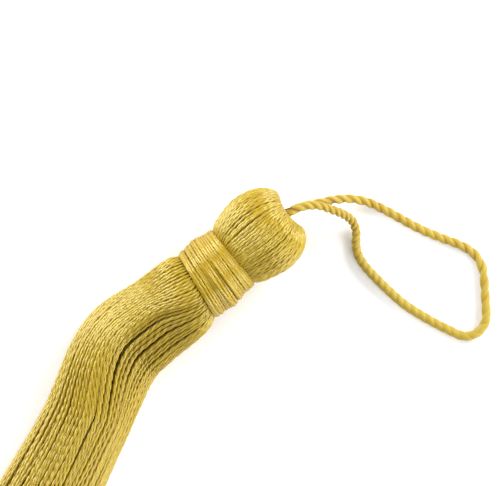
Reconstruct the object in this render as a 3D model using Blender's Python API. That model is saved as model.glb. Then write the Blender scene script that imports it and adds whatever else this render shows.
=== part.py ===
"""Silk tassel lying on a surface: yarn head and skirt, wound neck, and twisted hanging loop.

Metres, +Z up. +X runs along the head's axis towards the loop, and +Y to the left of it seen from above.
The origin is the middle of the small flat spot under the head's widest part, on the surface.
"""

import math
import random

import bmesh
import bpy
from mathutils import Vector

MM = 0.001
SEED = 7

# Head: sections along its axis, with their radius, the height of their ridges and their share of the saddle
AXIS_HEIGHT = 6.85 * MM
SECTION_COLUMNS = ("along", "radius", "ridge", "saddle")
HEAD_SECTIONS = (
    (-12.20, 4.70, 0.00, 0.0),
    (-5.52, 4.70, 0.00, 0.0),
    (-5.20, 5.50, 0.16, 0.0),
    (-4.60, 6.10, 0.24, 0.0),
    (-3.20, 6.62, 0.28, 0.0),
    (-1.60, 7.02, 0.28, 0.0),
    (0.00, 7.20, 0.28, 0.0),
    (1.60, 7.05, 0.28, 0.0),
    (3.00, 6.68, 0.28, 0.2),
    (4.20, 5.95, 0.26, 0.5),
    (5.05, 4.90, 0.22, 0.8),
    (5.45, 3.85, 0.18, 1.0),
    (5.30, 2.90, 0.12, 0.8),
    (4.75, 2.25, 0.05, 0.3),
    (4.40, 2.00, 0.00, 0.0),
)
SHOULDER_LEAN = 0.24 * MM
SHOULDER_SADDLE = 0.34 * MM
RIDGE_UNEVENNESS = 0.10 * MM

# Neck, where the yarn is drawn in under its winding
NECK_RADIUS = 4.7 * MM
NECK_END = -13.0 * MM

# Skirt: strands laid out on a hexagon of triangles, then bent down and spread along a centre line
HEXAGON_SIDE = 5
STRAND_STOPS = (1.2, 3.2, 8.0, 13.0, 18.0, 23.0, 28.5, 36.0)
STRAND_INSET = 0.10 * MM
SKIRT_LENGTH = 65.0 * MM
SKIRT_UNEVENNESS = 3.2 * MM
SKIRT_ROUTE = (
    (-13.0, 0.0), (-19.0, -0.1), (-24.0, 0.1), (-28.5, 0.2), (-32.5, -1.1), (-36.4, -3.2),
    (-40.3, -5.4), (-44.1, -7.2), (-47.9, -8.9), (-60.0, -14.0), (-73.0, -19.5), (-81.0, -22.9),
)
SPREAD_COLUMNS = ("along", "half_width", "height", "settled")
SKIRT_SPREAD = (
    (0.0, 4.70, 9.4, 0.00),
    (1.1, 4.72, 9.4, 0.00),
    (3.1, 6.50, 11.2, 0.08),
    (8.0, 6.80, 10.4, 0.55),
    (15.0, 7.50, 9.0, 1.00),
    (28.0, 7.30, 7.8, 1.00),
    (42.0, 7.90, 7.0, 1.00),
    (68.0, 9.40, 5.6, 1.00),
)
STRAND_SETTLING = 0.13 * MM
FLARE_SLANT = 0.55 * MM

# Wound neck: outline of its sleeve, with the ridges of its turns
WRAP_BORE = 5.0 * MM
WRAP_COLUMNS = 40
WRAP_TURNS = 9
WRAP_RIDGE = 0.22 * MM
WRAP_UNEVENNESS = 0.14 * MM
WRAP_LUMPS = 2
WRAP_LUMP_TWIST = 0.7
WRAP_HOLLOW_TWIST = 0.45
WRAP_BORE_MARGIN = 0.1 * MM
WRAP_SLANT = 0.10
WRAP_OUTLINE_COLUMNS = ("along", "radius")
WRAP_OUTLINE = (
    (-13.5, 5.80), (-12.6, 6.12), (-11.2, 6.25), (-9.9, 6.48),
    (-8.6, 6.05), (-7.4, 5.88), (-6.4, 5.80), (-5.75, 5.58),
)

# Hanging loop: a two-ply cord, from the dimple down to the surface, round and back under itself
CORD_DIAMETER = 1.50 * MM
CORD_THIN = 1.20 * MM
CORD_PITCH = 3.2 * MM
CORD_STEP = 0.5 * MM
CORD_SIDES = 8
CORD_ROUTE = (
    (4.72, -0.10, 7.75), (6.80, -0.35, 7.75), (8.60, -1.15, 7.50), (10.10, -2.40, 6.75),
    (11.30, -4.20, 5.30), (12.30, -6.00, 3.55), (12.70, -7.70, 2.05), (12.10, -9.40, 1.10),
    (10.90, -10.90, 0.80), (10.00, -12.60, 0.76), (9.75, -15.00, 0.76), (9.95, -17.80, 0.76),
    (10.30, -20.60, 0.76), (10.80, -23.40, 0.76), (11.70, -26.20, 0.76), (12.70, -28.80, 0.76),
    (13.75, -31.10, 0.76), (14.38, -32.48, 0.76), (15.20, -33.58, 0.76), (16.39, -34.26, 0.76),
    (17.75, -34.39, 0.76), (19.06, -33.95, 0.76), (20.07, -33.03, 0.76), (21.04, -31.67, 0.76),
    (23.30, -28.50, 0.76), (24.50, -26.30, 0.76), (24.70, -24.00, 0.76), (23.90, -21.70, 0.76),
    (22.50, -19.30, 0.76), (21.10, -16.80, 0.76), (19.90, -14.30, 0.76), (18.90, -11.80, 0.76),
    (17.90, -9.40, 0.78), (16.70, -7.00, 0.95), (15.00, -4.90, 1.60), (12.90, -3.30, 2.85),
    (10.80, -2.20, 4.35), (8.70, -1.10, 5.45), (6.80, -0.30, 5.92), (4.72, 0.10, 5.95),
)

SILK = {"color": (0.62, 0.44, 0.07, 1.0), "roughness": 0.42}
WRAP_SILK = {"color": (0.60, 0.40, 0.06, 1.0), "roughness": 0.45}
CORD_SILK = {"color": (0.66, 0.42, 0.06, 1.0), "roughness": 0.5}


def clear_scene():
    for item in list(bpy.data.objects):
        bpy.data.objects.remove(item, do_unlink=True)


def silk_material(name, look):
    material = bpy.data.materials.new(name)
    material.use_nodes = True
    shader = material.node_tree.nodes["Principled BSDF"]
    shader.inputs["Base Color"].default_value = look["color"]
    shader.inputs["Roughness"].default_value = look["roughness"]
    shader.inputs["Metallic"].default_value = 0.0
    return material


def finish_object(name, bm, look):
    """Makes the bmesh an object of triangles that face outwards, with its material."""
    bmesh.ops.recalc_face_normals(bm, faces=bm.faces[:])
    bmesh.ops.triangulate(bm, faces=bm.faces[:])
    mesh = bpy.data.meshes.new(name)
    bm.to_mesh(mesh)
    bm.free()
    mesh.materials.append(silk_material(name + " silk", look))
    piece = bpy.data.objects.new(name, mesh)
    bpy.context.collection.objects.link(piece)
    return piece


def table_value(rows, columns, column, along):
    """Reads a column of a table at a place along it, eased between its rows."""
    place = columns.index(column)
    if along <= rows[0][0]:
        return rows[0][place]
    for low, high in zip(rows, rows[1:]):
        if along <= high[0]:
            share = (along - low[0]) / (high[0] - low[0])
            share = share * share * (3.0 - 2.0 * share)
            return low[place] + share * (high[place] - low[place])
    return rows[-1][place]


def smooth_curve(route, step):
    """Reads a smooth curve through the route's points, in metres, as points an even step apart."""
    points = [Vector(point) * MM for point in route]
    padded = [2 * points[0] - points[1]] + points + [2 * points[-1] - points[-2]]
    fine = []
    parts = 24
    for before, start, end, after in zip(padded, padded[1:], padded[2:], padded[3:]):
        for part in range(parts):
            t = part / parts
            fine.append(0.5 * (2 * start + (end - before) * t
                               + (2 * before - 5 * start + 4 * end - after) * t * t
                               + (3 * start - before - 3 * end + after) * t * t * t))
    fine.append(points[-1])
    lengths = [0.0]
    for low, high in zip(fine, fine[1:]):
        lengths.append(lengths[-1] + (high - low).length)
    count = max(1, round(lengths[-1] / step))
    even = []
    place = 0
    for index in range(count + 1):
        target = lengths[-1] * index / count
        while place < len(fine) - 2 and lengths[place + 1] < target:
            place += 1
        share = (target - lengths[place]) / (lengths[place + 1] - lengths[place])
        even.append(fine[place].lerp(fine[place + 1], share))
    return even


class SkirtShape:
    """Where a strand runs: its place in the neck's round bundle, carried along the skirt's centre line."""

    def __init__(self):
        self.step = 0.5 * MM
        self.centre = smooth_curve([(x, y, 0.0) for x, y in SKIRT_ROUTE], self.step)

    def frame(self, along):
        """Gives the centre line's point, and its sideways direction, at a distance along it."""
        place = min(max(along / self.step, 0.0), len(self.centre) - 2.001)
        low = int(place)
        before = self.centre[max(low - 1, 0)]
        after = self.centre[low + 1]
        centre = self.centre[low].lerp(self.centre[low + 1], place - low)
        ahead = (after - before).normalized()
        return centre, Vector((ahead.y, -ahead.x, 0.0))

    def point(self, along, across, up):
        """Maps a place in the unit disc to the bundle, a round neck that settles to a heap."""
        place = max(0.0, along + FLARE_SLANT * across) / MM
        spread = {name: table_value(SKIRT_SPREAD, SPREAD_COLUMNS, name, place)
                  for name in SPREAD_COLUMNS[1:]}
        centre, sideways = self.frame(along)
        round_up = AXIS_HEIGHT + up * spread["height"] * MM / 2
        dome = math.sqrt(max(0.0, 1.0 - across * across))
        heap_up = max(0.0, spread["height"] * MM * (up + dome) / 2 - STRAND_SETTLING)
        height = round_up + spread["settled"] * (heap_up - round_up)
        reach = across * spread["half_width"] * MM
        return centre + sideways * reach + Vector((0.0, 0.0, height))


def hexagon_disc(bm):
    """Makes the neck's end: a hexagon of small triangles, pushed out to a round disc."""
    bmesh.ops.create_circle(bm, cap_ends=True, cap_tris=True, segments=6, radius=1.0)
    bmesh.ops.subdivide_edges(bm, edges=bm.edges[:], cuts=HEXAGON_SIDE - 1, use_grid_fill=True)
    for vert in bm.verts:
        reach, angle = hexagon_to_disc(vert.co)
        across = reach * math.cos(angle) * NECK_RADIUS
        up = reach * math.sin(angle) * NECK_RADIUS
        vert.co = Vector((NECK_END, across, AXIS_HEIGHT + up))


def hexagon_to_disc(point):
    """Turns a point of the unit hexagon, with a corner on +Y, to the disc's radius and angle."""
    sixth = math.pi / 3
    angle = math.atan2(-point.x, point.y) % math.tau
    off_middle = angle % sixth - sixth / 2
    reach = point.length * math.cos(off_middle) / math.cos(sixth / 2)
    along_side = 0.5 + math.tan(off_middle) / (2 * math.tan(sixth / 2))
    return reach, (math.floor(angle / sixth) + along_side) * sixth


def grow_strands(bm, shape, cells):
    """Insets each small triangle of the disc and draws it out as a strand."""
    across_layer = bm.verts.layers.float.new("across")
    up_layer = bm.verts.layers.float.new("up")
    length_layer = bm.verts.layers.float.new("length")
    bmesh.ops.inset_individual(bm, faces=cells, thickness=STRAND_INSET, use_even_offset=True)
    chance = random.Random(SEED)
    for cell in cells:
        length = SKIRT_LENGTH - SKIRT_UNEVENNESS * chance.random() ** 1.5
        for vert in cell.verts:
            vert[across_layer] = vert.co.y / NECK_RADIUS
            vert[up_layer] = (vert.co.z - AXIS_HEIGHT) / NECK_RADIUS
            vert[length_layer] = length
    tips = cells
    for stop in STRAND_STOPS + (None,):
        tips = bmesh.ops.extrude_discrete_faces(bm, faces=tips)["faces"]
        for tip in tips:
            for vert in tip.verts:
                along = vert[length_layer] if stop is None else stop * MM
                vert.co = shape.point(along, vert[across_layer], vert[up_layer])


def grow_head(bm, rim):
    """Draws the disc's rim up the neck and over the head's sections, to the dimple's floor."""
    chance = random.Random(SEED + 1)
    unevenness = [chance.uniform(-1.0, 1.0) * RIDGE_UNEVENNESS for _ in range(12 * HEXAGON_SIDE)]
    for number, section in enumerate(HEAD_SECTIONS):
        row = dict(zip(SECTION_COLUMNS, section))
        grown = bmesh.ops.extrude_edge_only(bm, edges=rim)["geom"]
        rim = [item for item in grown if isinstance(item, bmesh.types.BMEdge)]
        if number == 1:
            bmesh.ops.subdivide_edges(bm, edges=rim, cuts=1)
            rim = [edge for edge in bm.edges if edge.is_boundary]
        for vert in {vert for edge in rim for vert in edge.verts}:
            shape_head_point(vert, row, unevenness)
    bmesh.ops.contextual_create(bm, geom=rim)


def shape_head_point(vert, row, unevenness):
    angle = math.atan2(vert.co.z - AXIS_HEIGHT, vert.co.y)
    column = round(angle / math.tau * len(unevenness)) % len(unevenness)
    angle = column / len(unevenness) * math.tau
    ridge = unevenness[column] if column % 2 == 0 else -row["ridge"] * MM
    radius = row["radius"] * MM + (ridge if row["ridge"] > 0.0 else 0.0)
    lean = SHOULDER_LEAN * math.cos(angle) + SHOULDER_SADDLE * math.cos(2 * angle)
    vert.co.x = row["along"] * MM + row["saddle"] * lean
    vert.co.y = radius * math.cos(angle)
    vert.co.z = AXIS_HEIGHT + radius * math.sin(angle)


def settle_on_surface(bm):
    """Flattens what would reach below the surface, which gives the head its flat spot."""
    for vert in bm.verts:
        vert.co.z = max(vert.co.z, 0.0)


def make_tassel_yarn():
    bm = bmesh.new()
    hexagon_disc(bm)
    rim = [edge for edge in bm.edges if edge.is_boundary]
    cells = bm.faces[:]
    grow_head(bm, rim)
    grow_strands(bm, SkirtShape(), cells)
    settle_on_surface(bm)
    return finish_object("tassel_yarn", bm, SILK)


def wrap_profile():
    """Gives the sleeve's outer outline from the skirt's end to the head's, with a ridge for each turn."""
    start = WRAP_OUTLINE[0][0]
    end = WRAP_OUTLINE[-1][0]
    profile = []
    for half in range(2 * WRAP_TURNS + 1):
        along = start + (end - start) * half / (2 * WRAP_TURNS)
        radius = table_value(WRAP_OUTLINE, WRAP_OUTLINE_COLUMNS, "radius", along) * MM
        groove = WRAP_RIDGE if half % 2 == 0 else 0.0
        profile.append((along * MM, radius - groove))
    return profile


def make_neck_wrap():
    """Spins the sleeve's outline round the head's axis, then makes its turns uneven and slants them."""
    bm = bmesh.new()
    outline = wrap_profile()
    outline += [(outline[-1][0], WRAP_BORE), (outline[0][0], WRAP_BORE)]
    ring = [bm.verts.new((along, radius, AXIS_HEIGHT)) for along, radius in outline]
    edges = [bm.edges.new(pair) for pair in zip(ring, ring[1:] + ring[:1])]
    bmesh.ops.spin(bm, geom=edges, cent=(0.0, 0.0, AXIS_HEIGHT), axis=(1.0, 0.0, 0.0), angle=math.tau,
                   steps=WRAP_COLUMNS, use_merge=True)
    for vert in bm.verts:
        make_wrap_uneven(vert)
        slant_wrap(vert)
    return finish_object("neck_wrap", bm, WRAP_SILK)


def make_wrap_uneven(vert):
    outward = Vector((0.0, vert.co.y, vert.co.z - AXIS_HEIGHT))
    radius = outward.length
    if radius < WRAP_BORE + WRAP_BORE_MARGIN:
        return
    angle = math.atan2(outward.z, outward.y)
    along = vert.co.x / MM
    lump = math.sin(WRAP_LUMPS * angle + WRAP_LUMP_TWIST * along)
    bump = lump * math.cos(angle - WRAP_HOLLOW_TWIST * along)
    vert.co += outward.normalized() * (WRAP_UNEVENNESS * bump)


def slant_wrap(vert):
    """Leans the turns over, more towards the skirt."""
    head_end, skirt_end = WRAP_OUTLINE[-1][0] * MM, WRAP_OUTLINE[0][0] * MM
    share = (vert.co.x - head_end) / (skirt_end - head_end)
    vert.co.x += WRAP_SLANT * share * vert.co.y


def make_hanging_loop():
    """Sweeps a two-ply section along the loop's route, turning it as the plies are twisted."""
    path = smooth_curve(CORD_ROUTE, CORD_STEP)
    bm = bmesh.new()
    rings = []
    side = Vector((0.0, 1.0, 0.0))
    for index, centre in enumerate(path):
        ahead = path[min(index + 1, len(path) - 1)] - path[max(index - 1, 0)]
        ahead.normalize()
        side = (side - ahead * side.dot(ahead)).normalized()
        turn = index * CORD_STEP / CORD_PITCH * math.tau
        rings.append(cord_ring(bm, centre, side, ahead.cross(side), turn))
    for low, high in zip(rings, rings[1:]):
        bmesh.ops.bridge_loops(bm, edges=loop_edges(low) + loop_edges(high))
    bm.faces.new(rings[0])
    bm.faces.new(rings[-1])
    return finish_object("hanging_loop", bm, CORD_SILK)


def cord_ring(bm, centre, side, up, turn):
    ring = []
    for corner in range(CORD_SIDES):
        angle = corner / CORD_SIDES * math.tau
        wide = math.cos(angle) * CORD_DIAMETER / 2
        thin = math.sin(angle) * CORD_THIN / 2
        across = wide * math.cos(turn) - thin * math.sin(turn)
        over = wide * math.sin(turn) + thin * math.cos(turn)
        ring.append(bm.verts.new(centre + side * across + up * over))
    for pair in zip(ring, ring[1:] + ring[:1]):
        bm.edges.new(pair)
    return ring


def loop_edges(ring):
    return [edge for edge in {edge for vert in ring for edge in vert.link_edges}
            if edge.verts[0] in ring and edge.verts[1] in ring]


def main():
    clear_scene()
    make_tassel_yarn()
    make_neck_wrap()
    make_hanging_loop()


if __name__ == "__main__":
    main()
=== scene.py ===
import math
import random

import bmesh
import bpy
import numpy as np
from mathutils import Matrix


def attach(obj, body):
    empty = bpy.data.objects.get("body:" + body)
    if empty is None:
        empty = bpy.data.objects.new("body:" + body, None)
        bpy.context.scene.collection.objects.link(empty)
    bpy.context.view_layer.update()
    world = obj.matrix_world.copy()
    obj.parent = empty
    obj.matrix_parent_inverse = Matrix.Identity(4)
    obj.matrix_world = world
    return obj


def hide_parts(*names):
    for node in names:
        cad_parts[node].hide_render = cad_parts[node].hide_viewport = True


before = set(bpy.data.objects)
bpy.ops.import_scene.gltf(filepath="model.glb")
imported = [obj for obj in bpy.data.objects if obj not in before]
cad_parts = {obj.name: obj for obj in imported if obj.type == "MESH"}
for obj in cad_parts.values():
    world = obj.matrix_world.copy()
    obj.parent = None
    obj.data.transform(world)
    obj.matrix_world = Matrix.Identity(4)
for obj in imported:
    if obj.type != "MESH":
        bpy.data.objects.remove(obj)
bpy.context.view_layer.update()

bl_info = {
    "name": "Silk Tassel",
    "version": (1, 0, 0),
    "blender": (4, 5, 0),
    "location": "View3D > Sidebar > Tassel",
    "description": "Builds a silk tassel of twisted threads, with a wound neck and a twisted hanging loop",
    "category": "Add Mesh",
}

# Outlines, routes and the winding are in plain millimetres; the stage, and all that is times MM, is in metres
MM = 0.001
UP = np.array([0.0, 0.0, 1.0])

# The photograph's frame: its size, its scale, the head's lean in it, and the pixel over the row's origin
PHOTO_SIZE = (500, 486)
PIXELS_PER_MM = 6.2
HEAD_LEAN = math.radians(39.0)
ORIGIN_PIXEL = (261.4, 233.9)

# The stage: the camera's sensor in millimetres, its height and reach, the floor, and the world's light
SENSOR_WIDTH = 36.0
CAMERA_DISTANCE = 0.9
CAMERA_REACH = 10.0
FLOOR_HALF = 1.5
FLOOR_ROUGHNESS = 0.9
WORLD_STRENGTH = 0.46

# The soft lights round the tassel: name, place, width and power
LIGHTS = (
    ("Key", (-0.14, 0.52, 0.23), 0.36, 5.5),
    ("Side", (0.50, -0.04, 0.23), 0.30, 4.0),
    ("Fill", (0.06, -0.52, 0.20), 0.40, 3.2),
)

# How far apart a thread's plies lie, as a share of its diameter, and how far into a thread the painted shade
# in the groove between its plies is darkest
HEAD_PLIES = 0.23
SKIRT_PLIES = 0.25
WINDING_PLIES = 0.15
DEEPEST_GROOVE_SHADE = 0.54

# The head's outline: distance along its axis, radius there, and share of the saddle between its shoulders
AXIS_HEIGHT = 6.85 * MM
HEAD_OUTLINE = (
    (-8.00, 4.60, 0.0), (-6.70, 4.75, 0.0), (-6.00, 5.10, 0.0), (-5.55, 5.52, 0.0), (-4.70, 6.15, 0.0),
    (-3.20, 6.62, 0.0), (-1.60, 7.02, 0.0), (0.00, 7.20, 0.0), (1.60, 7.05, 0.0), (3.00, 6.68, 0.2),
    (4.20, 5.95, 0.5), (5.05, 4.90, 0.8), (5.45, 3.85, 1.0), (5.30, 2.90, 0.8), (4.75, 2.15, 0.3),
    (4.10, 1.50, 0.0), (3.40, 0.90, 0.0),
)
OUTLINE_STEP = 0.1
SHOULDER_LEAN = 0.24 * MM
SHOULDER_SADDLE = 0.34 * MM

# The head's packed core: its neck, its inset from the outline and where that sets it back too, how finely
# it is turned, and how near it comes to its axis and the floor
NECK_END = -13.0 * MM
NECK_RADIUS = 4.2 * MM
CORE_INSET = 0.42 * MM
CORE_FRONT = 3.0 * MM
CORE_ROWS = 36
CORE_STEPS = 72
CORE_AXIS_GAP = 0.2 * MM
CORE_FLOOR = 0.1 * MM

# The head's threads: their points and sides, and how unevenly they start round the neck
HEAD_SEED = 11
HEAD_POINTS = 66
HEAD_SIDES = 12
HEAD_UNEVEN = 0.15

# How thick the head's threads are: share of their room, what is added to it, and how they vary
HEAD_FILLS = 0.62
HEAD_EXTRA = 0.04 * MM
HEAD_SIZES = (0.93, 1.10)
HEAD_SLUB = 0.05
HEAD_SLUB_WAVES = 5

# How far the head's threads stray round it, with their neighbours and alone, how far they stand out of it,
# and the point that they face away from; shared waves have a number and the most of them round the head
HEAD_SHARED_STRAY = 0.030
HEAD_SHARED_WAVES = (5, 5)
HEAD_OWN_STRAY = 0.012
HEAD_OWN_WAVES = 3
HEAD_LIFT = 0.09 * MM
HEAD_SINK = 0.06 * MM
HEAD_NEAREST = 0.1 * MM
HEAD_MIDDLE = np.array([-1.0 * MM, 0.0, AXIS_HEIGHT])

# The skirt: its centre line, and how its bundle spreads and settles along it
SKIRT_ROUTE = (
    (-13.0, 0.0), (-19.0, -0.1), (-24.0, 0.1), (-28.5, 0.2), (-32.5, -1.1), (-36.4, -3.2),
    (-40.3, -5.4), (-44.1, -7.2), (-47.9, -8.9), (-60.0, -14.0), (-73.0, -19.5), (-81.0, -22.9),
)
SKIRT_ROUTE_STEP = 0.5
SPREAD_COLUMNS = ("along", "half_width", "height", "settled")
SKIRT_SPREAD = (
    (0.0, 4.95, 9.9, 0.00),
    (0.4, 5.50, 10.9, 0.00),
    (1.0, 6.00, 11.5, 0.01),
    (2.0, 6.45, 11.8, 0.04),
    (3.4, 6.72, 11.9, 0.09),
    (5.0, 6.82, 11.6, 0.22),
    (8.5, 6.95, 10.5, 0.60),
    (15.0, 7.50, 9.0, 1.00),
    (28.0, 7.30, 7.8, 1.00),
    (42.0, 7.90, 7.0, 1.00),
    (68.0, 9.40, 5.6, 1.00),
)

# The skirt's slanting start, its tuck under the winding, and the side that its threads crowd towards
FLARE_SLANT = 0.90 * MM
SKIRT_TUCK = 2.0 * MM
LOCK_ANGLE = math.radians(145.0)
LOCK_CROWDING = 0.22

# The skirt's layers, from the outside in: reach from the bundle's middle, and threads
LAYER_COLUMNS = ("reach", "threads")
SKIRT_LAYERS = (
    (1.00, 66),
    (0.94, 66),
    (0.80, 48),
    (0.60, 30),
    (0.40, 20),
    (0.18, 9),
)

# The skirt's pieces: name, layer, sides, distance between points, seed, and which half of the layer
SKIRT_PIECES = (
    ("skirt_top", 0, 12, 0.36 * MM, 21, True),
    ("skirt_under", 0, 10, 0.40 * MM, 21, False),
    ("skirt_second", 1, 8, 0.50 * MM, 22, None),
    ("skirt_inner_1", 2, 6, 0.70 * MM, 23, None),
    ("skirt_inner_2", 3, 6, 0.70 * MM, 24, None),
    ("skirt_inner_3", 4, 6, 0.70 * MM, 25, None),
    ("skirt_inner_4", 5, 6, 0.70 * MM, 26, None),
)

# How evenly the skirt's threads start and end: place round the layer, ragged cut, and the tip's narrowing
SKIRT_UNEVEN = 0.2
CUT_RAGGED = 3.2 * MM
CUT_FEW = 1.5
CUT_TIP = 0.6

# How freely the skirt's threads lie: held up to a place, loose some way on, and straying round and outwards,
# with their neighbours and alone; shared waves have a number and the most of them round the layer
HELD_TO = 1.5 * MM
LOOSENS_OVER = 30.0 * MM
SHARED_ROUND = 0.09
SHARED_ROUND_WAVES = (5, 4)
SHARED_OUT = 0.025
SHARED_OUT_WAVES = (4, 6)
OWN_ROUND = 0.040
OWN_OUT = 0.040
OWN_WAVES = 4
DRAWN_IN = 0.03

# How the skirt's threads swell from the winding's hold to their full size, and how their thickness varies
HELD_SIZE = 0.82
LEAST_SIZE = 0.8
SWELLS_OVER = 8.0 * MM
SKIRT_SIZES = (0.90, 1.10)
SKIRT_SLUB = 0.07
SKIRT_SLUB_WAVES = 6

# The parting on the skirt's upper side: distance along it, place across, and sink of the threads below it;
# place and sink, and the parting's depth and edge, are shares of the bundle
PARTING_COLUMNS = ("along", "place", "sink")
PARTING = (
    (0.0, -0.34, 0.00), (0.7, -0.34, 0.02), (3.5, -0.20, 0.06), (9.0, 0.10, 0.08), (15.0, 0.04, 0.05),
    (28.0, -0.34, 0.00),
)
PARTING_DEPTH = 0.3
PARTING_EDGE = 0.05

# The wound neck's outline: distance along the axis, and radius
WRAP_COLUMNS = ("along", "radius")
WRAP_OUTLINE = (
    (-13.5, 5.80), (-12.6, 6.12), (-11.2, 6.25), (-9.9, 6.48),
    (-8.6, 6.05), (-7.4, 5.88), (-6.4, 5.80), (-5.75, 5.58),
)

# The passes of the winding's thread: turns, first and last place along the axis, and lift over the outline
PASS_COLUMNS = ("turns", "start", "end", "lift")
WRAP_PASSES = (
    (20.0, -13.25, -5.95, -0.56),
    (1.0, -5.95, -5.92, -0.40),
    (1.0, -5.92, -6.40, -0.28),
    (6.5, -6.40, -9.00, -0.20),
    (1.0, -9.00, -9.60, -0.32),
    (9.0, -9.60, -13.20, -0.34),
    (1.0, -13.20, -13.20, -0.26),
    (2.0, -13.20, -12.20, -0.22),
    (1.4, -12.20, -9.10, -0.25),
    (1.6, -9.10, -8.40, -0.15),
    (0.8, -8.40, -6.60, -0.13),
    (2.0, -6.60, -6.00, -0.20),
)
WRAP_ENDS = (-13.25, -5.95)
POINTS_A_TURN = 96
SOFTENED_POINTS = 31

# How the winding's thread lies: its slant and the stretch that it grows over, flatness, sides and twist
WRAP_SLANT = 0.15
SLANT_FROM = -6.0
SLANT_OVER = 7.0
WINDING_FLAT = 0.58
WINDING_SIDES = 8
WINDING_TWIST = 0.8

# The turns' slow drift along the axis: how far, how quickly from turn to turn, and where it starts
WRAP_DRIFT = ((0.05, 2.9, 0.0), (0.06, 1.3, 1.0))

# The winding's lightness: its middle, its change from turn to turn, and the painted shade that darkens it in
# the hollows
TONE_MIDDLE = 0.5
TONE_CHANGE = 0.55
TONE_STEP = 2.4
HOLLOW_PAINTED_SHADE = 2.6

# Hollows between the winding's bands: place and half-width along the axis, angle and half-angle, and depth
HOLLOW_COLUMNS = ("along", "wide", "angle", "spread", "depth")
WRAP_HOLLOWS = (
    (-9.45, 0.38, 103, 34, 0.30),
    (-6.30, 0.30, 94, 30, 0.22),
    (-11.30, 0.50, 122, 42, 0.12),
    (-12.30, 0.32, 30, 40, 0.14),
    (-8.10, 0.36, 205, 40, 0.24),
    (-10.80, 0.40, 290, 45, 0.22),
    (-7.20, 0.34, 330, 40, 0.20),
)

# The hanging loop's twist: distance along it, length of a full turn there, and how far apart the plies lie
TWIST_COLUMNS = ("along", "pitch", "apart")
CORD_TWIST = (
    (0.0, 3.6, 0.27), (6.0, 2.9, 0.28), (13.0, 2.3, 0.26), (21.0, 2.5, 0.15), (30.0, 2.9, 0.11),
    (42.0, 3.1, 0.11), (48.0, 4.2, 0.16), (54.0, 5.2, 0.27), (59.0, 3.8, 0.26), (66.0, 3.3, 0.22),
    (76.0, 3.4, 0.25), (84.0, 4.0, 0.29), (92.0, 3.6, 0.27),
)
CORD_SIDES = 24
CORD_STEP = 0.22

# The hanging loop's route, from the dimple down to the surface, round and back under itself
CORD_ROUTE = (
    (4.72, -0.10, 7.75), (6.80, -0.35, 7.75), (8.60, -1.15, 7.50), (10.10, -2.40, 6.75),
    (11.30, -4.20, 5.30), (12.30, -6.00, 3.55), (12.70, -7.70, 2.05), (12.10, -9.40, 1.10),
    (10.90, -10.90, 0.80), (10.00, -12.60, 0.76), (9.75, -15.00, 0.76), (9.95, -17.80, 0.76),
    (10.30, -20.60, 0.76), (10.80, -23.40, 0.76), (11.70, -26.20, 0.76), (12.70, -28.80, 0.76),
    (13.75, -31.10, 0.76), (14.38, -32.48, 0.76), (15.20, -33.58, 0.76), (16.39, -34.26, 0.76),
    (17.75, -34.39, 0.76), (19.06, -33.95, 0.76), (20.07, -33.03, 0.76), (21.04, -31.67, 0.76),
    (23.30, -28.50, 0.76), (24.50, -26.30, 0.76), (24.70, -24.00, 0.76), (23.90, -21.70, 0.76),
    (22.50, -19.30, 0.76), (21.10, -16.80, 0.76), (19.90, -14.30, 0.76), (18.90, -11.80, 0.76),
    (17.90, -9.40, 0.78), (16.70, -7.00, 0.95), (15.00, -4.90, 1.60), (12.90, -3.30, 2.85),
    (10.80, -2.20, 4.35), (8.70, -1.10, 5.45), (6.80, -0.30, 5.92), (4.72, 0.10, 5.95),
)

# Where a thread's silk pattern starts, so that no two threads are alike: a shift for each thread, in metres
SILK_SHIFT = 0.013
SILK_SHIFT_ASIDE = 0.37

# The waves that threads wander by: pace of the slowest, height of their sum, and pace of the shared ones
WAVE_PACE = 0.7
WAVE_SUM = 1.5
SHARED_PACE = (0.6, 3.0)

# Points that a smooth curve has from each of its route's points to the next, before it is evened out
CURVE_POINTS = 24

# The silk's colour: how much of it each pattern gives, the one from the ply grooves being painted shade, and
# the sum that stands for its middle
STREAK_SHARE = 0.42
TONE_SHARE = 0.26
PATCH_SHARE = 0.35
GROOVE_SHADE_SHARE = 0.55
COLOUR_SUM = 0.88
COLOUR_MIDDLE = 0.6

# The silk's patterns: filaments to a metre and their stretch along the thread, the range of the painted shade
# in the ply grooves, and patches to a metre
FILAMENTS = 6000.0
FILAMENT_STRETCH = (1.0, 1.0, 0.06)
STREAK_RANGE = (0.30, 0.70)
GROOVE_SHADE_RANGE = (0.35, 0.95)
PATCHES = 260.0

# The silk's gloss: strength, tint, roughness and its range, and how far it is drawn out across the threads
SILK_GLOSS = 0.85
SILK_TINT = (0.97, 1.0, 0.58, 1.0)
SILK_ROUGHNESS = 0.26
ROUGHNESS_RANGE = 0.20
DRAWN_OUT = 0.75
QUARTER_TURN = 0.25
FILAMENT_BUMP = 0.25
FILAMENT_RELIEF = 0.03 * MM

# The cord's silk is duller and coarser than the threads'
CORD_CONTRAST = 1.5
CORD_FILAMENTS = 3000.0
CORD_GLOSS = 0.45
CORD_ROUGHNESS = 0.40


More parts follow.
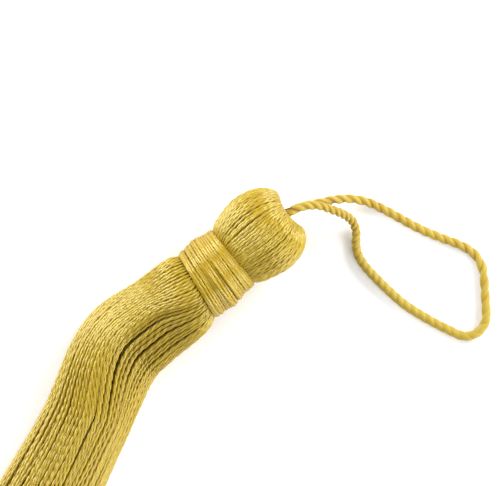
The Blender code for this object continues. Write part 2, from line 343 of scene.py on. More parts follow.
class TasselSizes(bpy.types.PropertyGroup):
    """Sizes of the tassel's threads and cord"""

    thread: bpy.props.FloatProperty(
        name="Thread", description="Diameter of a skirt thread", default=0.66 * MM, unit="LENGTH")
    thread_pitch: bpy.props.FloatProperty(
        name="Thread pitch", description="Length of one full twist of a thread",
        default=3.2 * MM, unit="LENGTH")
    head_threads: bpy.props.IntProperty(
        name="Head threads", description="Threads that run over the head", default=82, min=24, max=120)
    skirt_length: bpy.props.FloatProperty(
        name="Skirt", description="Length of the longest skirt thread", default=65.0 * MM, unit="LENGTH")
    winding: bpy.props.FloatProperty(
        name="Winding", description="Width of the thread wound round the neck",
        default=0.54 * MM, unit="LENGTH")
    cord: bpy.props.FloatProperty(
        name="Cord", description="Diameter of the hanging loop's cord", default=1.50 * MM, unit="LENGTH")
    cord_twist: bpy.props.FloatProperty(
        name="Cord twist", description="Length of the cord's turns, as a share of their usual length",
        default=1.0)


class TasselColours(bpy.types.PropertyGroup):
    """Colours of the silk and the stage"""

    bright: bpy.props.FloatVectorProperty(
        name="Bright silk", description="Colour of the silk where its filaments lie flat", subtype="COLOR",
        size=4, min=0.0, max=1.0, default=(0.425, 0.300, 0.017, 1.0))
    # This colour is the dark end of the head's and the skirt's own tone, and gives the painted shade in their
    # ply grooves and all over the packed core
    deep_tone_and_shade: bpy.props.FloatVectorProperty(
        name="Deep silk", description="Colour of the head's and the skirt's silk in its grooves",
        subtype="COLOR", size=4, min=0.0, max=1.0, default=(0.205, 0.102, 0.002, 1.0))
    warm: bpy.props.FloatVectorProperty(
        name="Warm silk", description="Colour of the cord's plies", subtype="COLOR",
        size=4, min=0.0, max=1.0, default=(0.385, 0.278, 0.040, 1.0))
    # This colour is the dark end of the cord's and the winding's own tone, and gives the painted shade in
    # their ply grooves and the winding's hollows
    groove_shade: bpy.props.FloatVectorProperty(
        name="Cord groove", description="Colour of the cord's and the winding's silk in its grooves",
        subtype="COLOR", size=4, min=0.0, max=1.0, default=(0.24, 0.098, 0.004, 1.0))
    floor: bpy.props.FloatVectorProperty(
        name="Floor", description="Colour of the floor", subtype="COLOR",
        size=4, min=0.0, max=1.0, default=(0.93, 0.93, 0.93, 1.0))


def table_values(rows, columns, column, along):
    """Reads a table's column at many places along it, by a smooth curve that never overshoots its rows."""
    place = columns.index(column)
    starts = np.array([row[0] for row in rows])
    values = np.array([row[place] for row in rows])
    gaps = np.diff(starts)
    slopes = np.diff(values) / gaps
    both = slopes[1:] * slopes[:-1]
    total = np.where(both > 0.0, slopes[1:] + slopes[:-1], 1.0)
    tangents = np.zeros(len(rows))
    tangents[0], tangents[-1] = slopes[0], slopes[-1]
    tangents[1:-1] = np.where(both > 0.0, 2.0 * both / total, 0.0)
    along = np.clip(along, starts[0], starts[-1])
    low = np.clip(np.searchsorted(starts, along, side="right") - 1, 0, len(rows) - 2)
    t = (along - starts[low]) / gaps[low]
    eased = t * t * (3.0 - 2.0 * t)
    bend = tangents[low] * t * (1.0 - t) ** 2 - tangents[low + 1] * t * t * (1.0 - t)
    return values[low] + eased * (values[low + 1] - values[low]) + gaps[low] * bend


def length_along(lines):
    """Gives the length from the start of each line to each of its points."""
    steps = np.linalg.norm(np.diff(lines, axis=-2), axis=-1)
    return np.concatenate([np.zeros(steps.shape[:-1] + (1,)), np.cumsum(steps, axis=-1)], axis=-1)


def resample(line, count):
    """Reads a line as count points an even way apart."""
    lengths = length_along(line)
    even = np.linspace(0.0, lengths[-1], count)
    return np.stack([np.interp(even, lengths, line[:, axis]) for axis in range(line.shape[1])], axis=1)


def smooth_curve(route, step):
    """Reads a smooth curve through the route's points as points an even step apart."""
    points = np.array(route, float)
    padded = np.vstack([2 * points[0] - points[1], points, 2 * points[-1] - points[-2]])
    t = (np.arange(CURVE_POINTS) / CURVE_POINTS)[:, None]
    fine = []
    for before, start, end, after in zip(padded, padded[1:], padded[2:], padded[3:]):
        fine.append(0.5 * (2 * start + (end - before) * t
                           + (2 * before - 5 * start + 4 * end - after) * t ** 2
                           + (3 * start - before - 3 * end + after) * t ** 3))
    fine = np.vstack(fine + [points[-1:]])
    return resample(fine, max(1, round(length_along(fine)[-1] / step)) + 1)


def unit(vectors):
    """Gives each vector a length of one."""
    return vectors / np.maximum(np.linalg.norm(vectors, axis=-1, keepdims=True), 1e-12)


def draws(chance, count, low, high):
    """Draws count numbers between two limits, as a column."""
    return np.array([chance.uniform(low, high) for _ in range(count)])[:, None]


def even_angles(chance, count, start, uneven):
    """Places count threads round a circle, each off its even place by up to that share of a gap."""
    places = [number + chance.uniform(-uneven, uneven) for number in range(count)]
    return start + np.array(places) * math.tau / count


def slow_wander(chance, count, places, waves):
    """Gives count smooth random lines over the places from 0 to 1, each about one high and one low."""
    lines = np.zeros((count, len(places)))
    for wave in range(1, waves + 1):
        phase = draws(chance, count, 0.0, math.tau)
        lines += np.sin(places[None, :] * math.tau * wave * WAVE_PACE + phase) / wave
    return lines / WAVE_SUM


def shared_wander(chance, angles, places, waves, turns):
    """Gives a smooth random field that neighbours share, at thread angles by places from 0 to 1."""
    field = np.zeros((len(angles), len(places)))
    for _ in range(waves):
        around = chance.randint(1, turns)
        ahead = chance.uniform(*SHARED_PACE)
        first, second = chance.uniform(0.0, math.tau), chance.uniform(0.0, math.tau)
        across = np.sin(around * angles[:, None] + first)
        field += across * np.sin(ahead * math.pi * places[None, :] + second)
    return field / math.sqrt(waves)


def straight_thread(sides, rings):
    """Models one straight thread of unit radius, standing on its end, with a ring at each whole height."""
    bm = bmesh.new()
    bmesh.ops.create_cone(bm, cap_ends=True, segments=sides, radius1=1.0, radius2=1.0, depth=rings - 1)
    upright = [edge for edge in bm.edges if abs(edge.verts[0].co.z - edge.verts[1].co.z) > 0.5]
    bmesh.ops.subdivide_edges(bm, edges=upright, cuts=rings - 2)
    bmesh.ops.translate(bm, verts=bm.verts[:], vec=(0.0, 0.0, (rings - 1) / 2))
    mesh = bpy.data.meshes.new("straight thread")
    bm.to_mesh(mesh)
    bm.free()
    return mesh


def two_plies(angle, apart):
    """Gives the outline of two plies, their middles apart by that share of the thread's diameter."""
    across = np.abs(np.cos(angle))
    return apart * across + np.sqrt((1.0 - apart) ** 2 - (apart * np.sin(angle)) ** 2)


def lay_threads(name, sides, centres, ups, radii, turns, apart, flat=1.0, tones_and_hollow_shade=None):
    """Lays copies of a straight thread along the centre lines, each pressed flat by that share.

    centres and ups are threads by rings by three, and radii and turns are threads by rings.
    apart, how far apart the plies lie, is one number or goes by rings.
    tones_and_hollow_shade, by rings, are for one thread alone and hold the winding's painted hollow shade;
    without them each thread gets a random lightness of its own.
    """
    count, rings = radii.shape
    straight = straight_thread(sides, rings)
    local = np.empty(len(straight.vertices) * 3)
    straight.vertices.foreach_get("co", local)
    local = local.reshape(-1, 3)
    ring = np.clip(np.rint(local[:, 2]).astype(int), 0, rings - 1)
    angle = np.arctan2(local[:, 1], local[:, 0])

    ahead = unit(np.gradient(centres, axis=1))
    side = unit(np.cross(ups, ahead))
    over = np.cross(ahead, side)
    plies = two_plies(angle, np.broadcast_to(np.asarray(apart, float), (rings,))[ring])
    outline = plies[None, :] * radii[:, ring]
    turned = angle[None, :] + turns[:, ring]
    spots = (centres[:, ring]
             + side[:, ring] * (outline * np.cos(turned))[..., None]
             + over[:, ring] * (outline * np.sin(turned) * flat)[..., None])

    along = length_along(centres)[:, ring]
    shift = np.arange(count)[:, None] * SILK_SHIFT
    silk = np.stack([outline * np.cos(angle) + shift, outline * np.sin(angle) + shift * SILK_SHIFT_ASIDE,
                     along + shift], axis=2)
    # Lighter on the plies' crowns and darker in the grooves between them: painted shade in the grooves
    depth = np.repeat(1.0 - (1.0 - plies)[None, :] / DEEPEST_GROOVE_SHADE, count, axis=0)
    if tones_and_hollow_shade is None:
        tone_and_shade = np.repeat(np.random.default_rng(count * rings).random(count), len(angle))
    else:
        tone_and_shade = tones_and_hollow_shade[ring]

    bm = bmesh.new()
    for _ in range(count):
        bm.from_mesh(straight)
    mesh = bpy.data.meshes.new(name)
    bm.to_mesh(mesh)
    bm.free()
    bpy.data.meshes.remove(straight)
    mesh.vertices.foreach_set("co", spots.reshape(-1))
    mesh.attributes.new("silk", "FLOAT_VECTOR", "POINT").data.foreach_set("vector", silk.reshape(-1))
    # Each thread's own lightness; the winding's also holds the painted shade of its hollows
    mesh.attributes.new("tone_and_shade", "FLOAT", "POINT").data.foreach_set("value", tone_and_shade)
    # This attribute carries the painted shade in the grooves between the plies
    mesh.attributes.new("ply_groove_shade", "FLOAT", "POINT").data.foreach_set("value", depth.reshape(-1))
    fibre = mesh.attributes.new("fibre", "FLOAT_VECTOR", "POINT")
    fibre.data.foreach_set("vector", ahead[:, ring].reshape(-1))
    mesh.update()
    mesh.shade_smooth()
    piece = bpy.data.objects.new(name, mesh)
    bpy.context.collection.objects.link(piece)
    return piece


def dress(piece, material, slot, *nodes):
    """Gives a piece its material and its body, and hides the solids that it stands for; the slot is not used.
    """
    piece.data.materials.append(material)
    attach(piece, "root")
    if nodes:
        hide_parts(*nodes)


def head_point(outline, radius, angle):
    """Places points on the head: outline rows by angles, at the given radius."""
    lean = SHOULDER_LEAN * np.cos(angle) + SHOULDER_SADDLE * np.cos(2 * angle)
    along = outline[..., 0] * MM + outline[..., 2] * lean
    return np.stack([along, radius * np.cos(angle), AXIS_HEIGHT + radius * np.sin(angle)], axis=-1)


def skirt_place(along, across, up, radius):
    """Maps places in the unit disc to the skirt's bundle, at distances along it, for a thread's radius."""
    route = smooth_curve(SKIRT_ROUTE, SKIRT_ROUTE_STEP) * MM
    lengths = length_along(route)
    ahead = unit(np.gradient(route, axis=0))
    x, y = (np.interp(along, lengths, route[:, axis]) for axis in (0, 1))
    x = x + np.maximum(0.0, -along)
    ahead_x, ahead_y = (np.interp(along, lengths, ahead[:, axis]) for axis in (0, 1))
    place = np.maximum(0.0, along + FLARE_SLANT * across) / MM
    spread = {name: table_values(SKIRT_SPREAD, SPREAD_COLUMNS, name, place) for name in SPREAD_COLUMNS[1:]}
    reach = across * (spread["half_width"] * MM - radius)
    tall = spread["height"] * MM - 2 * radius
    dome = np.sqrt(np.maximum(0.0, 1.0 - across ** 2))
    round_up = AXIS_HEIGHT + up * tall / 2
    heap_up = radius + tall * (up + dome) / 2
    height = round_up + spread["settled"] * (heap_up - round_up)
    return np.stack([x + ahead_y * reach, y - ahead_x * reach, np.maximum(height, radius)], axis=-1)


def part_threads(along, across, up):
    """Draws the skirt's upper threads together above the parting, and lets those below it sink."""
    first = PARTING[0][1]
    place = table_values(PARTING, PARTING_COLUMNS, "place", along / MM)
    above = 1.0 - (1.0 - across) * (1.0 - place) / (1.0 - first)
    below = (1.0 + across) * (1.0 + place) / (1.0 + first) - 1.0
    upper = np.clip(up / PARTING_DEPTH, 0.0, 1.0)
    lock = np.clip((first - across) / PARTING_EDGE, 0.0, 1.0)
    across = across + upper * (np.where(across > first, above, below) - across)
    up = up - upper * lock * table_values(PARTING, PARTING_COLUMNS, "sink", along / MM)
    size = np.maximum(np.hypot(across, up), 1.0)
    return across / size, up / size


def skirt_threads(name, layer, sides, step, seed, upper):
    """Lays the upper or lower half of one of the skirt's layers, or all of it, each thread cut on its own."""
    sizes = bpy.context.scene.tassel_sizes
    chance = random.Random(seed)
    row = dict(zip(LAYER_COLUMNS, SKIRT_LAYERS[layer]))
    count = row["threads"]
    angles = even_angles(chance, count, chance.uniform(0.0, math.tau), SKIRT_UNEVEN)
    angles = angles - LOCK_CROWDING * np.sin(angles - LOCK_ANGLE)
    share = np.linspace(0.0, 1.0, int((sizes.skirt_length + SKIRT_TUCK) / step))
    lengths = sizes.skirt_length - np.array([chance.random() ** CUT_FEW * CUT_RAGGED for _ in range(count)])
    along = (lengths[:, None] + SKIRT_TUCK) * share[None, :] - SKIRT_TUCK
    loose = np.clip((along - HELD_TO) / LOOSENS_OVER, 0.0, 1.0)
    shared = shared_wander(chance, angles, share, *SHARED_ROUND_WAVES)
    own = slow_wander(chance, count, share, OWN_WAVES)
    turn = angles[:, None] + loose * (SHARED_ROUND * shared + OWN_ROUND * own)
    shared = shared_wander(chance, angles, share, *SHARED_OUT_WAVES)
    own = slow_wander(chance, count, share, OWN_WAVES)
    reach = row["reach"] + loose * (SHARED_OUT * shared - DRAWN_IN + OWN_OUT * own)
    across, up = part_threads(along, reach * np.cos(turn), reach * np.sin(turn))
    swell = np.clip(HELD_SIZE + along / SWELLS_OVER * (1.0 - HELD_SIZE), LEAST_SIZE, 1.0)
    slub = 1.0 + SKIRT_SLUB * slow_wander(chance, count, share, SKIRT_SLUB_WAVES)
    radii = sizes.thread / 2 * swell * slub * draws(chance, count, *SKIRT_SIZES)
    radii[:, -1] *= CUT_TIP
    centres = skirt_place(along, across, up, radii)
    turns = draws(chance, count, 0.0, math.tau) - along / sizes.thread_pitch * math.tau
    ups = np.broadcast_to(UP, centres.shape)
    kept = np.ones(count, bool) if upper is None else (np.sin(angles) > 0.0) == upper
    return lay_threads(name, sides, centres[kept], ups[kept], radii[kept], turns[kept], SKIRT_PLIES)


def node_group(name, inputs, outputs):
    """Starts a shader node group: inputs as name, type and default, outputs as name and type."""
    group = bpy.data.node_groups.new(name, "ShaderNodeTree")
    for label, kind, default in inputs:
        socket = group.interface.new_socket(name=label, in_out="INPUT", socket_type=kind)
        socket.default_value = default
    for label, kind in outputs:
        group.interface.new_socket(name=label, in_out="OUTPUT", socket_type=kind)
    return group, group.nodes.new("NodeGroupInput"), group.nodes.new("NodeGroupOutput")


def attribute(nodes, name):
    """Adds a node that reads an attribute of the threads."""
    node = nodes.new("ShaderNodeAttribute")
    node.attribute_name = name
    return node


def map_range(nodes, low, high, top=1.0):
    """Adds a node that maps the range from low to high to the range from 0 to top."""
    node = nodes.new("ShaderNodeMapRange")
    node.inputs["From Min"].default_value = low
    node.inputs["From Max"].default_value = high
    node.inputs["To Max"].default_value = top
    return node


def maths(nodes, operation, **values):
    """Adds a math node whose inputs, named a, b and c, hold the given values."""
    node = nodes.new("ShaderNodeMath")
    node.operation = operation
    for letter, value in values.items():
        node.inputs["abc".index(letter)].default_value = value
    return node


def silk_group():
    """Silk filaments along a thread: a colour that varies by thread and filament, darkened by painted shade
    in the ply grooves and the winding's hollows, and a height.
    """
    existing = bpy.data.node_groups.get("Silk filaments")
    if existing:
        return existing
    group, start, end = node_group(
        "Silk filaments",
        (("Bright", "NodeSocketColor", (0.8, 0.6, 0.1, 1.0)),
         ("Deep", "NodeSocketColor", (0.5, 0.3, 0.03, 1.0)),
         ("Filament", "NodeSocketFloat", FILAMENTS), ("Contrast", "NodeSocketFloat", 1.0),
         ("Smoothest", "NodeSocketFloat", SILK_ROUGHNESS),
         ("Roughest", "NodeSocketFloat", SILK_ROUGHNESS + ROUGHNESS_RANGE)),
        (("Color", "NodeSocketColor"), ("Roughness", "NodeSocketFloat"), ("Height", "NodeSocketFloat")))
    nodes, links = group.nodes, group.links
    tone_and_shade = attribute(nodes, "tone_and_shade")

    stretch = nodes.new("ShaderNodeMapping")
    stretch.inputs["Scale"].default_value = FILAMENT_STRETCH
    links.new(attribute(nodes, "silk").outputs["Vector"], stretch.inputs["Vector"])
    filament = nodes.new("ShaderNodeTexNoise")
    filament.inputs["Detail"].default_value = 2.0
    links.new(stretch.outputs["Vector"], filament.inputs["Vector"])
    links.new(start.outputs["Filament"], filament.inputs["Scale"])
    streak = map_range(nodes, *STREAK_RANGE)
    links.new(filament.outputs["Fac"], streak.inputs["Value"])

    place = nodes.new("ShaderNodeTexCoord")
    patch = nodes.new("ShaderNodeTexNoise")
    patch.inputs["Scale"].default_value = PATCHES
    patch.inputs["Detail"].default_value = 3.0
    links.new(place.outputs["Object"], patch.inputs["Vector"])

    # The silk darkens towards the grooves between the plies: painted shade in the grooves
    groove_shade = map_range(nodes, *GROOVE_SHADE_RANGE, top=GROOVE_SHADE_SHARE)
    links.new(attribute(nodes, "ply_groove_shade").outputs["Fac"], groove_shade.inputs["Value"])
    total = groove_shade.outputs["Result"]
    for source, weight in (
            (streak.outputs["Result"], STREAK_SHARE),
            (tone_and_shade.outputs["Fac"], TONE_SHARE),
            (patch.outputs["Fac"], PATCH_SHARE)):
        added = maths(nodes, "MULTIPLY_ADD", b=weight)
        links.new(source, added.inputs[0])
        links.new(total, added.inputs[2])
        total = added.outputs["Value"]
    spread = maths(nodes, "SUBTRACT", b=COLOUR_SUM)
    links.new(total, spread.inputs[0])
    mix = maths(nodes, "MULTIPLY_ADD", c=COLOUR_MIDDLE)
    links.new(spread.outputs["Value"], mix.inputs[0])
    links.new(start.outputs["Contrast"], mix.inputs[1])
    clamp = nodes.new("ShaderNodeClamp")
    links.new(mix.outputs["Value"], clamp.inputs["Value"])
    colour = nodes.new("ShaderNodeMix")
    colour.data_type = "RGBA"
    links.new(clamp.outputs["Result"], colour.inputs["Factor"])
    links.new(start.outputs["Deep"], colour.inputs["A"])
    links.new(start.outputs["Bright"], colour.inputs["B"])
    links.new(colour.outputs["Result"], end.inputs["Color"])

    rough = nodes.new("ShaderNodeMapRange")
    links.new(start.outputs["Smoothest"], rough.inputs["To Min"])
    links.new(start.outputs["Roughest"], rough.inputs["To Max"])
    links.new(filament.outputs["Fac"], rough.inputs["Value"])
    links.new(rough.outputs["Result"], end.inputs["Roughness"])
    links.new(filament.outputs["Fac"], end.inputs["Height"])
    return group


def silk_material(name, bright, deep_tone_and_shade, contrast=1.0, filament=FILAMENTS, gloss=SILK_GLOSS,
                  rough=SILK_ROUGHNESS, laid=True):
    """Makes the shader of one kind of silk, whose gloss is drawn out across its laid threads."""
    material = bpy.data.materials.new(name)
    material.use_nodes = True
    nodes, links = material.node_tree.nodes, material.node_tree.links
    shader = nodes["Principled BSDF"]
    fibres = nodes.new("ShaderNodeGroup")
    fibres.node_tree = silk_group()
    fibres.inputs["Bright"].default_value = bright
    fibres.inputs["Deep"].default_value = deep_tone_and_shade
    fibres.inputs["Filament"].default_value = filament
    fibres.inputs["Contrast"].default_value = contrast
    fibres.inputs["Smoothest"].default_value = rough
    fibres.inputs["Roughest"].default_value = rough + ROUGHNESS_RANGE
    bump = nodes.new("ShaderNodeBump")
    bump.inputs["Strength"].default_value = FILAMENT_BUMP
    bump.inputs["Distance"].default_value = FILAMENT_RELIEF
    links.new(fibres.outputs["Color"], shader.inputs["Base Color"])
    links.new(fibres.outputs["Roughness"], shader.inputs["Roughness"])
    links.new(fibres.outputs["Height"], bump.inputs["Height"])
    links.new(bump.outputs["Normal"], shader.inputs["Normal"])
    shader.inputs["Specular IOR Level"].default_value = gloss
    shader.inputs["Specular Tint"].default_value = SILK_TINT
    if laid:
        links.new(attribute(nodes, "fibre").outputs["Vector"], shader.inputs["Tangent"])
        shader.inputs["Anisotropic"].default_value = DRAWN_OUT
        shader.inputs["Anisotropic Rotation"].default_value = QUARTER_TURN
    return material


class TASSEL_OT_head_core(bpy.types.Operator):
    """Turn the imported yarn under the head's threads, from the neck to the dimple"""

    bl_idname = "tassel.head_core"
    bl_label = "Head core"

    def execute(self, context):
        colours = context.scene.tassel_colours
        bm = bmesh.new()
        profile = [bm.verts.new((along, radius, AXIS_HEIGHT)) for along, radius in self.profile()]
        edges = [bm.edges.new(pair) for pair in zip(profile, profile[1:])]
        bmesh.ops.spin(bm, geom=edges, cent=(0.0, 0.0, AXIS_HEIGHT), axis=(1.0, 0.0, 0.0), angle=math.tau,
                       steps=CORE_STEPS, use_merge=True)
        bmesh.ops.remove_doubles(bm, verts=bm.verts[:], dist=0.001 * MM)
        bmesh.ops.recalc_face_normals(bm, faces=bm.faces[:])
        for vert in bm.verts:
            vert.co.z = max(vert.co.z, CORE_FLOOR)
        mesh = bpy.data.meshes.new("head_core")
        bm.to_mesh(mesh)
        bm.free()
        mesh.shade_smooth()
        piece = bpy.data.objects.new("head_core", mesh)
        context.collection.objects.link(piece)
        # The core is coloured dark all over: painted shade where it shows between the head's threads
        dress(piece, silk_material("Packed yarn in painted shade", colours.deep_tone_and_shade, colours.deep_tone_and_shade, laid=False), "yarn_silk")
        return {"FINISHED"}

    def profile(self):
        """Gives the core's outline as distance along the axis and radius, from axis to axis."""
        line = resample(smooth_curve(HEAD_OUTLINE, OUTLINE_STEP), CORE_ROWS)
        core = [(NECK_END, 0.0), (NECK_END, NECK_RADIUS)]
        for along, radius, _ in line:
            back = CORE_INSET if along * MM > CORE_FRONT else 0.0
            core.append((along * MM - back, max(radius * MM - CORE_INSET, CORE_AXIS_GAP)))
        return core + [(line[-1][0] * MM - CORE_INSET, 0.0)]


class TASSEL_OT_head_threads(bpy.types.Operator):
    """Lay the threads that run over the head, from under the winding to the dimple"""

    bl_idname = "tassel.head_threads"
    bl_label = "Head threads"

    def execute(self, context):
        sizes = context.scene.tassel_sizes
        colours = context.scene.tassel_colours
        chance = random.Random(HEAD_SEED)
        count = sizes.head_threads
        outline = resample(smooth_curve(HEAD_OUTLINE, OUTLINE_STEP), HEAD_POINTS)
        share = np.linspace(0.0, 1.0, len(outline))
        start = even_angles(chance, count, 0.0, HEAD_UNEVEN)
        middle = np.sin(share * math.pi)
        shared = shared_wander(chance, start, share, *HEAD_SHARED_WAVES)
        own = slow_wander(chance, count, share, HEAD_OWN_WAVES)
        angle = start[:, None] + middle * (HEAD_SHARED_STRAY * shared + HEAD_OWN_STRAY * own)
        room = math.tau * outline[:, 1] * MM / count
        radii = np.minimum(sizes.thread / 2, HEAD_FILLS * room + HEAD_EXTRA)[None, :]
        radii = radii * draws(chance, count, *HEAD_SIZES)
        radii = radii * (1.0 + HEAD_SLUB * slow_wander(chance, count, share, HEAD_SLUB_WAVES))
        lift = HEAD_LIFT * middle * slow_wander(chance, count, share, HEAD_OWN_WAVES) - HEAD_SINK
        reach = np.maximum(outline[None, :, 1] * MM - radii + lift, HEAD_NEAREST)
        centres = head_point(np.broadcast_to(outline[None], (count,) + outline.shape), reach, angle)
        centres[..., 2] = np.maximum(centres[..., 2], radii)
        ups = centres - HEAD_MIDDLE
        along = length_along(centres)
        turns = draws(chance, count, 0.0, math.tau) - along / sizes.thread_pitch * math.tau
        piece = lay_threads("head_threads", HEAD_SIDES, centres, ups, radii, turns, HEAD_PLIES)
        dress(piece, silk_material("Head silk", colours.bright, colours.deep_tone_and_shade), "yarn_silk", "tassel_yarn")
        return {"FINISHED"}


class TASSEL_OT_skirt(bpy.types.Operator):
    """Lay the skirt's threads, the outer ones finely and the inner ones more simply"""

    bl_idname = "tassel.skirt"
    bl_label = "Skirt"

    def execute(self, context):
        colours = context.scene.tassel_colours
        silk = silk_material("Skirt silk", colours.bright, colours.deep_tone_and_shade)
        for row in SKIRT_PIECES:
            dress(skirt_threads(*row), silk, "yarn_silk", "tassel_yarn")
        return {"FINISHED"}


class TASSEL_OT_winding(bpy.types.Operator):
    """Wind one long thread round the neck, in the passes of its table"""

    bl_idname = "tassel.winding"
    bl_label = "Neck winding"

    def execute(self, context):
        sizes = context.scene.tassel_sizes
        colours = context.scene.tassel_colours
        turn, along, lift = self.passes()
        angle = turn * math.tau
        sunk = self.hollows(along, angle)
        radius = table_values(WRAP_OUTLINE, WRAP_COLUMNS, "radius", along) * MM + (lift - sunk) * MM
        slant = WRAP_SLANT * np.clip((SLANT_FROM - along) / SLANT_OVER, 0.0, 1.0) * radius * np.cos(angle)
        outward = np.stack([np.zeros_like(angle), np.cos(angle), np.sin(angle)], axis=1)
        centres = np.stack([along * MM + slant, radius * np.cos(angle),
                            AXIS_HEIGHT + radius * np.sin(angle)], axis=1)
        radii = np.full(len(angle), sizes.winding / 2)
        turns = -length_along(centres) / (WINDING_TWIST * sizes.thread_pitch) * math.tau
        # The winding darkens where its turns sink into the hollows: painted shade
        tones_and_hollow_shade = TONE_MIDDLE + TONE_CHANGE * np.sin(np.floor(turn) * TONE_STEP) - HOLLOW_PAINTED_SHADE * sunk
        piece = lay_threads("neck_winding", WINDING_SIDES, centres[None], outward[None], radii[None],
                            turns[None], WINDING_PLIES, WINDING_FLAT, tones_and_hollow_shade)
        silk = silk_material("Winding silk", colours.bright, colours.groove_shade)
        dress(piece, silk, "wrap_silk", "neck_wrap")
        return {"FINISHED"}

    def passes(self):
        """Gives the thread's turn, place along the axis and lift, point by point."""
        turn, along, lift = [], [], []
        done = 0.0
        for values in WRAP_PASSES:
            row = dict(zip(PASS_COLUMNS, values))
            points = int(row["turns"] * POINTS_A_TURN)
            share = np.arange(points) / points
            turn.append(done + share * row["turns"])
            along.append(row["start"] + share * (row["end"] - row["start"]))
            lift.append(np.full(points, row["lift"]))
            done += row["turns"]
        turn = np.concatenate(turn)
        along = self.soften(np.concatenate(along))
        for far, pace, first in WRAP_DRIFT:
            along = along + far * np.sin(turn * pace + first)
        return turn, np.clip(along, *WRAP_ENDS), self.soften(np.concatenate(lift))

    def soften(self, line):
        """Evens out the steps between one pass of the thread and the next."""
        soft = np.ones(SOFTENED_POINTS) / SOFTENED_POINTS
        return np.convolve(np.pad(line, SOFTENED_POINTS // 2, mode="edge"), soft, mode="valid")

    def hollows(self, along, angle):
        """Gives how far the thread sinks into the hollows between its bands."""
        depth = np.zeros_like(along)
        for values in WRAP_HOLLOWS:
            row = dict(zip(HOLLOW_COLUMNS, values))
            off = (np.degrees(angle) - row["angle"] + 180.0) % 360.0 - 180.0
            beside = ((along - row["along"]) / row["wide"]) ** 2
            depth += row["depth"] * np.exp(-beside - (off / row["spread"]) ** 2)
        return depth


class TASSEL_OT_loop(bpy.types.Operator):
    """Twist the hanging loop's cord and lay it on its route"""

    bl_idname = "tassel.loop"
    bl_label = "Hanging loop"

    def execute(self, context):
        sizes = context.scene.tassel_sizes
        colours = context.scene.tassel_colours
        path = smooth_curve(CORD_ROUTE, CORD_STEP) * MM
        along = length_along(path)
        radii = np.full(len(path), sizes.cord / 2)
        ups = np.broadcast_to(UP, path.shape)
        pitch = table_values(CORD_TWIST, TWIST_COLUMNS, "pitch", along / MM) * MM * sizes.cord_twist
        turns = np.concatenate([[0.0], np.cumsum(np.diff(along) / pitch[1:])]) * math.tau
        apart = table_values(CORD_TWIST, TWIST_COLUMNS, "apart", along / MM)
        piece = lay_threads("loop_cord", CORD_SIDES, path[None], ups[None], radii[None], turns[None], apart)
        silk = silk_material("Cord silk", colours.warm, colours.groove_shade, CORD_CONTRAST, CORD_FILAMENTS,
                             CORD_GLOSS, CORD_ROUGHNESS)
        dress(piece, silk, "cord_silk", "hanging_loop")
        return {"FINISHED"}


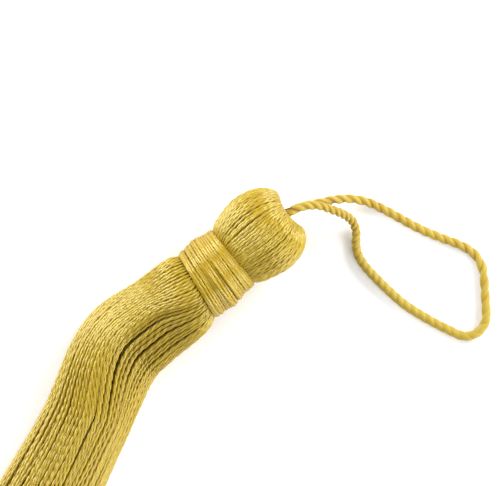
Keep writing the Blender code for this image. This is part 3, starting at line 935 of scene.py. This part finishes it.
class TASSEL_OT_stage(bpy.types.Operator):
    """Set the floor, the soft lights and the camera over the tassel"""

    bl_idname = "tassel.stage"
    bl_label = "Stage"

    def execute(self, context):
        self.floor(context)
        self.lights(context)
        self.camera(context)
        return {"FINISHED"}

    def floor(self, context):
        """Lays a plain pale floor, which isn't part of the object."""
        bm = bmesh.new()
        bmesh.ops.create_grid(bm, x_segments=1, y_segments=1, size=FLOOR_HALF)
        mesh = bpy.data.meshes.new("floor")
        bm.to_mesh(mesh)
        bm.free()
        material = bpy.data.materials.new("Pale floor")
        material.use_nodes = True
        shader = material.node_tree.nodes["Principled BSDF"]
        shader.inputs["Base Color"].default_value = context.scene.tassel_colours.floor
        shader.inputs["Roughness"].default_value = FLOOR_ROUGHNESS
        mesh.materials.append(material)
        floor = bpy.data.objects.new("floor", mesh)
        context.collection.objects.link(floor)

    def lights(self, context):
        """Sets a white world and the soft lights, each turned to the tassel."""
        world = bpy.data.worlds.new("Studio")
        world.use_nodes = True
        background = world.node_tree.nodes["Background"]
        background.inputs["Color"].default_value = (1.0, 1.0, 1.0, 1.0)
        background.inputs["Strength"].default_value = WORLD_STRENGTH
        context.scene.world = world
        for name, place, width, power in LIGHTS:
            light = bpy.data.lights.new(name, "AREA")
            light.size = width
            light.energy = power
            lamp = bpy.data.objects.new(name, light)
            lamp.location = place
            lamp.rotation_euler = (-lamp.location).to_track_quat("-Z", "Y").to_euler()
            context.collection.objects.link(lamp)
        context.scene.view_settings.view_transform = "Standard"

    def camera(self, context):
        """Sets the camera straight over the point that is in the middle of the photograph."""
        across = (PHOTO_SIZE[0] / 2 - ORIGIN_PIXEL[0]) / PIXELS_PER_MM * MM
        upward = -(PHOTO_SIZE[1] / 2 - ORIGIN_PIXEL[1]) / PIXELS_PER_MM * MM
        cos, sin = math.cos(HEAD_LEAN), math.sin(HEAD_LEAN)
        camera = bpy.data.cameras.new("Camera")
        camera.sensor_width = SENSOR_WIDTH
        camera.lens = SENSOR_WIDTH * CAMERA_DISTANCE / (PHOTO_SIZE[0] / PIXELS_PER_MM * MM)
        camera.clip_end = CAMERA_REACH
        viewer = bpy.data.objects.new("Camera", camera)
        viewer.location = (across * cos + upward * sin, upward * cos - across * sin,
                           CAMERA_DISTANCE + 0.5 * AXIS_HEIGHT)
        viewer.rotation_euler = (0.0, 0.0, -HEAD_LEAN)
        context.collection.objects.link(viewer)
        context.scene.camera = viewer


class TASSEL_PT_panel(bpy.types.Panel):
    """Lists the tassel's sizes, colours and pieces in the sidebar"""

    bl_label = "Silk Tassel"
    bl_idname = "TASSEL_PT_panel"
    bl_space_type = "VIEW_3D"
    bl_region_type = "UI"
    bl_category = "Tassel"

    def draw(self, context):
        for group in (context.scene.tassel_sizes, context.scene.tassel_colours):
            for name in group.bl_rna.properties.keys():
                if name not in {"rna_type", "name"}:
                    self.layout.prop(group, name)
        for operator in OPERATORS:
            self.layout.operator(operator.bl_idname)


OPERATORS = (
    TASSEL_OT_stage,
    TASSEL_OT_loop,
    TASSEL_OT_head_core,
    TASSEL_OT_head_threads,
    TASSEL_OT_winding,
    TASSEL_OT_skirt,
)
CLASSES = (TasselSizes, TasselColours) + OPERATORS + (TASSEL_PT_panel,)


def register():
    for item in CLASSES:
        bpy.utils.register_class(item)
    bpy.types.Scene.tassel_sizes = bpy.props.PointerProperty(type=TasselSizes)
    bpy.types.Scene.tassel_colours = bpy.props.PointerProperty(type=TasselColours)


def unregister():
    del bpy.types.Scene.tassel_colours
    del bpy.types.Scene.tassel_sizes
    for item in reversed(CLASSES):
        bpy.utils.unregister_class(item)


def main():
    register()
    bpy.ops.tassel.stage()
    bpy.ops.tassel.loop()
    bpy.ops.tassel.head_core()
    bpy.ops.tassel.head_threads()
    bpy.ops.tassel.winding()
    bpy.ops.tassel.skirt()


if __name__ == "__main__":
    main()
